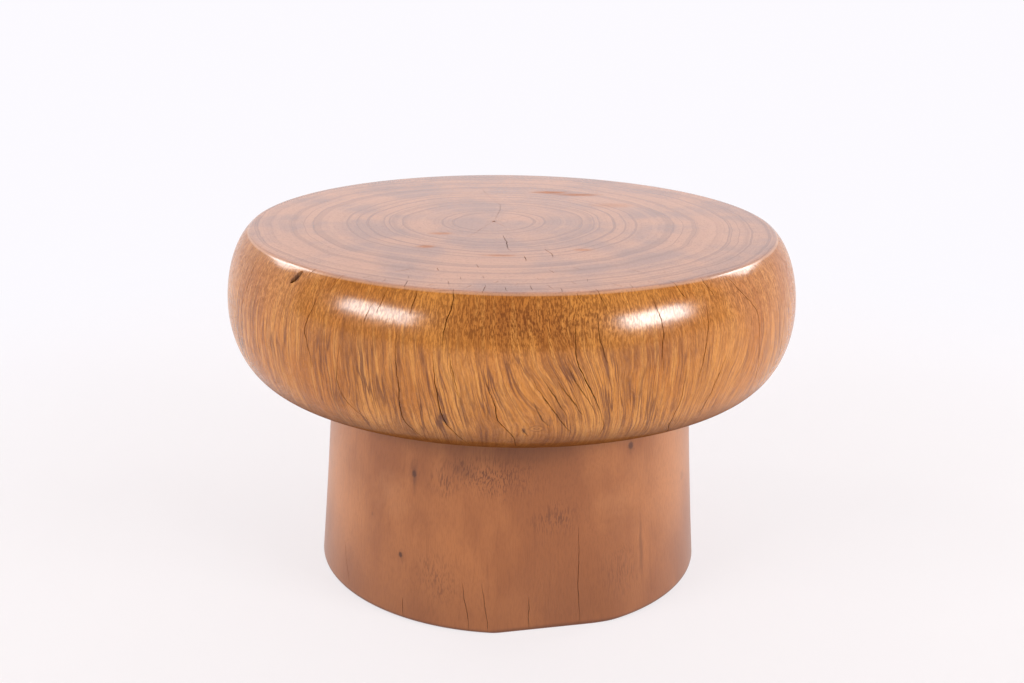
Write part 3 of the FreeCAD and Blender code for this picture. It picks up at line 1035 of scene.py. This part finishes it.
def makeStumpWood():
    f = stumpFinish
    mat, shader, coords = startMaterial("stumpWood")
    figure = useGroup(logFigure, {"Position": coords, **f["figure"]})
    color = blendColor(stepUp(figure["Blotch"], 0.38, 0.62), f["pale"], f["mid"])
    color = layOver(color, figure, stumpLayers, f)
    # painted light: paler patches on the pedestal's sides
    color = paintMarks(coords, color, stumpPaintedLight, stumpSpot, (0.5, 1.0), f["light"])
    upright = put('ShaderNodeSeparateXYZ', {0: coords}).outputs[2]
    # painted shade and painted shadows in bands up the pedestal
    for start, full, strength, tone in stumpShadeBands:
        color = blendColor(stepUp(upright, start, full, 0.0, strength), color, f[tone])
    dash = stepUp(figure["Pores"], 0.46, 0.62)
    pore = times(dash, 0.16)
    color = blendColor(pore, color, f["pore"])
    for place, size, strength in stumpDashes:
        mask = times(markMask(coords, stumpSpot(*place), size, 0.5, 1.0), dash)
        color = blendColor(times(mask, strength), color, f["stainAndShadow"])
    color = paintMarks(coords, color, stumpStains, stumpSpot, (0.6, 0.9), f["stainAndShadow"])
    color = paintMarks(coords, color, stumpKnots, stumpSpot, (0.3, 0.6), f["knot"])
    split = put('ShaderNodeAttribute', {}, attribute_name="checkDark").outputs["Fac"]
    color = blendColor(split, color, f["split"])
    height = times(pore, -1.5, times(figure["Threads"], 0.5))
    bump = put('ShaderNodeBump', {"Height": height, "Strength": f["bumpStrength"],
               "Distance": f["bumpDepth"]})
    wire(shader, {
        "Base Color": color, "Normal": bump.outputs[0],
        "Roughness": times(figure["Threads"], f["roughSpread"], f["roughness"]),
        "Coat Weight": times(split, -f["coat"], f["coat"]),
        "Coat Roughness": f["coatRoughness"], "Specular IOR Level": f["specular"]})
    return mat


dowelFinish = {
    "pale": (0.56, 0.37, 0.2, 1),
    "dark": (0.36, 0.21, 0.1, 1),
    "figure": {"Pith": (0.2, 0.1, 0), "Ring Scale": 300.0, "Fibre Scale": 700.0,
               "Fibre Length": 20.0, "Wander": 0.01, "Ripple": 0.002},
    "layers": [("Rings", 0.4, 0.7, 1.0, "dark"), ("Fibres", 0.55, 0.75, 0.5, "dark")],
}


def makeDowelWood():
    f = dowelFinish
    mat, shader, coords = startMaterial("dowelWood")
    figure = useGroup(logFigure, {"Position": coords, **f["figure"]})
    wire(shader, {"Base Color": layOver(f["pale"], figure, f["layers"], f),
         "Roughness": times(figure["Threads"], 0.2, 0.5)})
    return mat


zincFinish = {"bright": (0.66, 0.67, 0.68, 1), "dull": (0.42, 0.43, 0.44, 1), "spangle": 420.0,
              "cloud": (90.0, 4.0)}


def makeZinc():
    f = zincFinish
    mat, shader, coords = startMaterial("zincPlate")
    spangle = put('ShaderNodeTexVoronoi', {"Vector": coords, "Scale": f["spangle"]})
    cloud = stepUp(noiseOn(coords, *f["cloud"]), 0.35, 0.7)
    wire(shader, {"Base Color": blendColor(cloud, f["bright"], f["dull"]),
         "Roughness": times(spangle.outputs["Distance"], 0.25, 0.24), "Metallic": 1.0})
    return mat


nylonFinish = {"dark": (0.03, 0.022, 0.018, 1), "scuffed": (0.075, 0.06, 0.05, 1),
               "scuff": (260.0, 5.0)}


def makeNylon():
    f = nylonFinish
    mat, shader, coords = startMaterial("glideNylon")
    scuff = noiseOn(coords, *f["scuff"])
    color = blendColor(stepUp(scuff, 0.48, 0.7), f["dark"], f["scuffed"])
    bump = put('ShaderNodeBump', {"Height": scuff, "Strength": 0.15, "Distance": 0.0003})
    wire(shader, {"Base Color": color, "Roughness": times(scuff, 0.3, 0.38),
         "Normal": bump.outputs[0]})
    return mat


def dress(piece, mat):
    piece.data.materials.clear()
    piece.data.materials.append(mat)


dress(cap, makeCapWood())
dress(stump, makeStumpWood())
zinc = makeZinc()
hiddenFinishes = {"dowel": makeDowelWood(), "lag": zinc, "washers": zinc, "glide": makeNylon(),
                  "glide_nails": zinc}
for name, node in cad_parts.items():
    if name in ("tabletop", "pedestal"):
        continue
    kind = name if name in hiddenFinishes else name.split("_")[0]
    for slot in node.material_slots:
        slot.material = hiddenFinishes[kind]
print("finishes on")


# studio

studio = {
    "backdropAway": 2.8,
    "bend": 0.9,
    "wallTop": 2.4,
    "overheadBend": 0.6,
    "overheadTo": 0.55,  # the paper comes forward overhead as far as this
    "reach": 30.0,  # the floor runs this far and ends in a low lip that hides the horizon
    "lip": 2.0,
    "floorWhite": (0.78, 0.76, 0.765, 1),
    "floorFibre": (0.77, 0.752, 0.76, 1),
    "fibre": (6.0, 2.0),
    "floorGlow": (0.985, 0.935, 0.948, 1),
    "wallGlow": (0.978, 0.958, 1.0, 1),
    "floorShare": 0.72,  # how much of the floor near the table is plain white to the eye
    "wallFrom": (0.7, 1.9),
    "worldColor": (1, 0.985, 0.975, 1),
    "worldStrength": 0.265,
    # azimuth, elevation, distance, size, power, the point it faces, and whether gloss shows it
    "lamps": [
        ("boxLeft", -56, 25.5, 7, (3.7, 1.55), 300, (-0.131, -0.308, 0.405), True),
        ("boxRight", 60, 22.5, 7, (3.4, 1.5), 375, (0.147, -0.301, 0.405), True),
        ("rearLeft", -116, 34, 2.2, (0.55, 0.6), 10, (0, 0, 0.33), True),
        ("rearRight", 118, 32, 2.2, (0.55, 0.6), 10, (0, 0, 0.33), True),
        ("sideLeft", -72, 18, 2.4, (1.4, 1.4), 8, (0, 0, 0.33), False),
        ("sideRight", 72, 18, 2.4, (1.4, 1.4), 8, (0, 0, 0.33), False),
    ],
}


def makePaper():
    # pale paper that looks white to the camera and in gloss, and still takes the shadow
    s = studio
    mat, shader, coords = startMaterial("paleSweep")
    tree = mat.node_tree
    tree.nodes.remove(shader)
    fibre = stepUp(noiseOn(coords, *s["fibre"]), 0.3, 0.7)
    tone = blendColor(fibre, s["floorWhite"], s["floorFibre"])
    matte = put('ShaderNodeBsdfDiffuse', {"Color": tone})
    wall = stepUp(vec('DISTANCE', coords, (0.1, -0.3, 0)), *s["wallFrom"])
    shine = blendColor(wall, s["floorGlow"], s["wallGlow"])
    glow = put('ShaderNodeEmission', {"Color": shine, "Strength": 1.0})
    ray = put('ShaderNodeLightPath', {}).outputs
    seen = calc('MAXIMUM', ray["Is Glossy Ray"], ray["Is Transmission Ray"])
    seen = calc('MAXIMUM', ray["Is Camera Ray"], seen)
    share = times(seen, times(wall, 1 - s["floorShare"], s["floorShare"]))
    mixed = put('ShaderNodeMixShader', {0: share, 1: matte.outputs[0], 2: glow.outputs[0]})
    tree.links.new(mixed.outputs[0], tree.nodes["Material Output"].inputs["Surface"])
    return mat


def makeSweep():
    s = studio
    reach, lip, bend, away = s["reach"], s["lip"], s["bend"], s["backdropAway"]
    high, turn = s["wallTop"], s["overheadBend"]
    bm = bmesh.new()
    line = [(-reach, lip), (-reach, 0.0), (away - bend, 0.0)]
    for t in (math.pi / 24 * k for k in range(1, 12)):
        line.append((away - bend + bend * math.sin(t), bend - bend * math.cos(t)))
    line += [(away, bend), (away, high)]
    for t in (math.pi / 12 * k for k in range(1, 7)):
        line.append((away - turn + turn * math.cos(t), high + turn * math.sin(t)))
    line.append((s["overheadTo"], high + turn))
    verts = [bm.verts.new((-reach, y, z)) for y, z in line]
    edges = [bm.edges.new(pair) for pair in zip(verts, verts[1:])]
    grown = bmesh.ops.extrude_edge_only(bm, edges=edges)["geom"]
    moved = [v for v in grown if isinstance(v, bmesh.types.BMVert)]
    bmesh.ops.translate(bm, verts=moved, vec=(2 * reach, 0, 0))
    for x in (-reach, reach):
        ends = [(x, -reach, 0), (x, away, 0), (x, away, lip), (x, -reach, lip)]
        bm.faces.new([bm.verts.new(co) for co in ends])
    bmesh.ops.recalc_face_normals(bm, faces=bm.faces)
    for face in bm.faces:
        face.smooth = True
    sweep = asObject("paperSweep", bm)
    dress(sweep, makePaper())


def softbox(name, azimuth, elevation, away, size, power, aim, mirrored):
    a, e = math.radians(azimuth), math.radians(elevation)
    lamp = bpy.data.lights.new(name, 'AREA')
    lamp.shape = 'RECTANGLE'
    lamp.size, lamp.size_y = size
    lamp.energy = power
    box = bpy.data.objects.new(name, lamp)
    way = Vector((math.sin(a) * math.cos(e), -math.cos(a) * math.cos(e), math.sin(e)))
    box.location = Vector(aim) + way * away
    box.rotation_euler = way.to_track_quat('Z', 'Y').to_euler()
    box.visible_glossy = mirrored
    scene.collection.objects.link(box)


makeSweep()
for lampRow in studio["lamps"]:
    softbox(*lampRow)
world = bpy.data.worlds.new("room")
scene.world = world
world.use_nodes = True
wire(world.node_tree.nodes["Background"],
     {"Color": studio["worldColor"], "Strength": studio["worldStrength"]})

camera = {"spot": (0.0012, -1.569, 0.7865), "pitch": 0.3122, "roll": 0.0162, "lens": 45.43,
          "sensor": 36}
lens = bpy.data.cameras.new("view")
lens.sensor_width = camera["sensor"]
lens.sensor_fit = 'HORIZONTAL'
lens.lens = camera["lens"]
eye = bpy.data.objects.new("view", lens)
eye.matrix_world = (Matrix.Translation(camera["spot"])
                    @ Matrix.Rotation(math.pi / 2 - camera["pitch"], 4, 'X')
                    @ Matrix.Rotation(camera["roll"], 4, 'Z'))
scene.collection.objects.link(eye)
scene.camera = eye
print("studio set")
